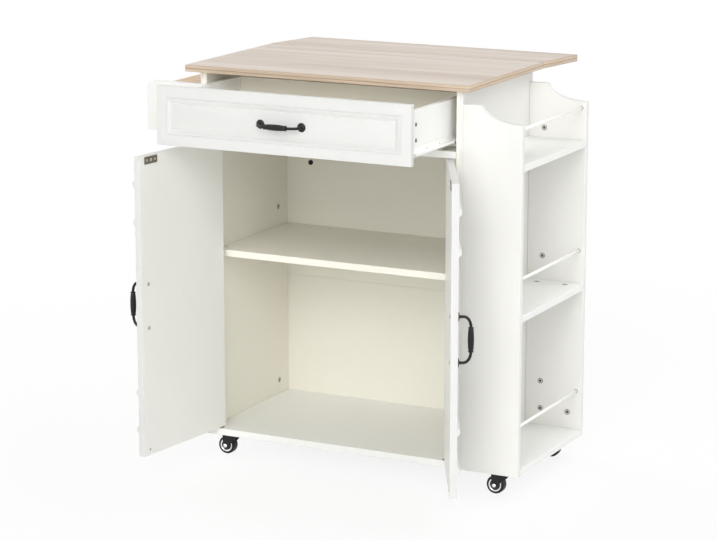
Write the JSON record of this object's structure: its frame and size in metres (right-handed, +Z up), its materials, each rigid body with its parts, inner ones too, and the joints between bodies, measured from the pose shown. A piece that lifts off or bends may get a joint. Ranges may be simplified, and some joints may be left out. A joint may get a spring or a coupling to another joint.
{
  "type": "drop leaf kitchen island",
  "caption": "White kitchen island on casters with a wood worktop and rear drop leaf, two doors, a drawer, an open spice rack at one end and a side shelf with towel rod at the other.",
  "frame": {"origin": "centre of the bounding box at rest, on the floor under the casters", "axes": "+X towards the spice rack, +Y towards the back with the drop leaf, +Z up; the doors and the drawer open towards -Y"},
  "size_m": [0.898, 0.8374, 0.8823],
  "materials": {
    "white_board": "satin white coated board",
    "wood_board": "satin light oak grain board with banded edges",
    "black_metal": "satin black",
    "white_metal": "satin white",
    "plated_steel": "zinc plated",
    "white_plastic": "matt white",
    "wheel_black": "satin black tread"
  },
  "bodies": {
    "carcass": {"side_panel_left": "white_board", "side_panel_right": "white_board", "bottom_panel": "white_board", "drawer_rail": "white_board", "adjustable_shelf": "white_board", "back_panel": "white_board", "worktop": "wood_board", "rack_panel_front": "white_board", "rack_panel_rear": "white_board", "rack_shelf_bottom": "white_board", "rack_shelf_middle": "white_board", "rack_shelf_top": "white_board", "rack_rod_bottom": "white_metal", "rack_rod_middle": "white_metal", "rack_rod_top": "white_metal", "side_bracket_front": "white_board", "side_bracket_rear": "white_board", "side_shelf": "wood_board", "towel_rod": "white_metal", "slide_rail_left": "white_metal", "slide_rail_right": "white_metal", "pivot_pin_bottom_left": "plated_steel", "pivot_pin_bottom_right": "plated_steel", "pivot_pin_top_left": "plated_steel", "pivot_pin_top_right": "plated_steel", "magnetic_catch_left": "white_plastic", "magnetic_catch_right": "white_plastic", "leaf_wall_arm_left": "plated_steel", "leaf_wall_arm_right": "plated_steel", "caster_plate_left_front": "black_metal", "caster_plate_left_rear": "black_metal", "caster_plate_right_front": "black_metal", "caster_plate_right_rear": "black_metal"},
    "drawer": {"drawer_front": "white_board", "drawer_side_left": "white_board", "drawer_side_right": "white_board", "drawer_back": "white_board", "drawer_bottom": "white_board", "drawer_runner_left": "white_metal", "drawer_runner_right": "white_metal", "drawer_handle": "black_metal"},
    "left_door": {"door_left": "white_board", "door_handle_left": "black_metal", "strike_plate_left": "plated_steel"},
    "right_door": {"door_right": "white_board", "door_handle_right": "black_metal", "strike_plate_right": "plated_steel"},
    "leaf": {"drop_leaf": "wood_board", "leaf_shelf_arm_left": "plated_steel", "leaf_shelf_arm_right": "plated_steel"},
    "strut_left": {"leaf_strut_left": "plated_steel"},
    "strut_right": {"leaf_strut_right": "plated_steel"},
    "fork_left_front": {"caster_fork_left_front": "black_metal"},
    "fork_left_rear": {"caster_fork_left_rear": "black_metal"},
    "fork_right_front": {"caster_fork_right_front": "black_metal"},
    "fork_right_rear": {"caster_fork_right_rear": "black_metal"},
    "wheel_left_front": {"caster_wheel_left_front": "wheel_black"},
    "wheel_left_rear": {"caster_wheel_left_rear": "wheel_black"},
    "wheel_right_front": {"caster_wheel_right_front": "wheel_black"},
    "wheel_right_rear": {"caster_wheel_right_rear": "wheel_black"}
  },
  "joints": [
    {"name": "drawer_slide", "type": "slide", "parent": "carcass", "child": "drawer", "axis": [0, -1, 0], "range_m": [-0.214, 0.03]},
    {"name": "door_left_hinge", "type": "hinge", "parent": "carcass", "child": "left_door", "pos_m": [-0.2815, -0.13914, 0.066], "axis": [0, 0, -1], "range_deg": [-96.3, 15]},
    {"name": "door_right_hinge", "type": "hinge", "parent": "carcass", "child": "right_door", "pos_m": [0.2835, -0.13914, 0.066], "axis": [0, 0, 1], "range_deg": [-117.2, 8]},
    {"name": "leaf_fold", "type": "hinge", "parent": "carcass", "child": "leaf", "pos_m": [0, 0.23086, 0.858], "axis": [1, 0, 0], "range_deg": [-87.5, 0]},
    {"name": "strut_left_fold", "type": "hinge", "parent": "leaf", "child": "strut_left", "pos_m": [-0.236, 0.32078, 0.85407], "axis": [1, 0, 0], "range_deg": [-1, 128]},
    {"name": "strut_right_fold", "type": "hinge", "parent": "leaf", "child": "strut_right", "pos_m": [0.238, 0.32078, 0.85407], "axis": [1, 0, 0], "range_deg": [-1, 128]},
    {"name": "caster_left_front_swivel", "type": "hinge", "parent": "carcass", "child": "fork_left_front", "pos_m": [-0.261, -0.11614, 0.043], "axis": [0, 0, 1], "continuous": true},
    {"name": "caster_left_rear_swivel", "type": "hinge", "parent": "carcass", "child": "fork_left_rear", "pos_m": [-0.261, 0.18986, 0.043], "axis": [0, 0, 1], "continuous": true},
    {"name": "caster_right_front_swivel", "type": "hinge", "parent": "carcass", "child": "fork_right_front", "pos_m": [0.398, -0.11614, 0.043], "axis": [0, 0, 1], "continuous": true},
    {"name": "caster_right_rear_swivel", "type": "hinge", "parent": "carcass", "child": "fork_right_rear", "pos_m": [0.398, 0.18986, 0.043], "axis": [0, 0, 1], "continuous": true},
    {"name": "caster_left_front_roll", "type": "hinge", "parent": "fork_left_front", "child": "wheel_left_front", "pos_m": [-0.271, -0.11614, 0.02], "axis": [0, 1, 0], "continuous": true},
    {"name": "caster_left_rear_roll", "type": "hinge", "parent": "fork_left_rear", "child": "wheel_left_rear", "pos_m": [-0.271, 0.18986, 0.02], "axis": [0, 1, 0], "continuous": true},
    {"name": "caster_right_front_roll", "type": "hinge", "parent": "fork_right_front", "child": "wheel_right_front", "pos_m": [0.388, -0.11614, 0.02], "axis": [0, 1, 0], "continuous": true},
    {"name": "caster_right_rear_roll", "type": "hinge", "parent": "fork_right_rear", "child": "wheel_right_rear", "pos_m": [0.388, 0.18986, 0.02], "axis": [0, 1, 0], "continuous": true}
  ],
  "couplings": [
    {"joint": "strut_left_fold", "follows": "leaf_fold", "ratio": -1.4567},
    {"joint": "strut_right_fold", "follows": "leaf_fold", "ratio": -1.4567}
  ]
}
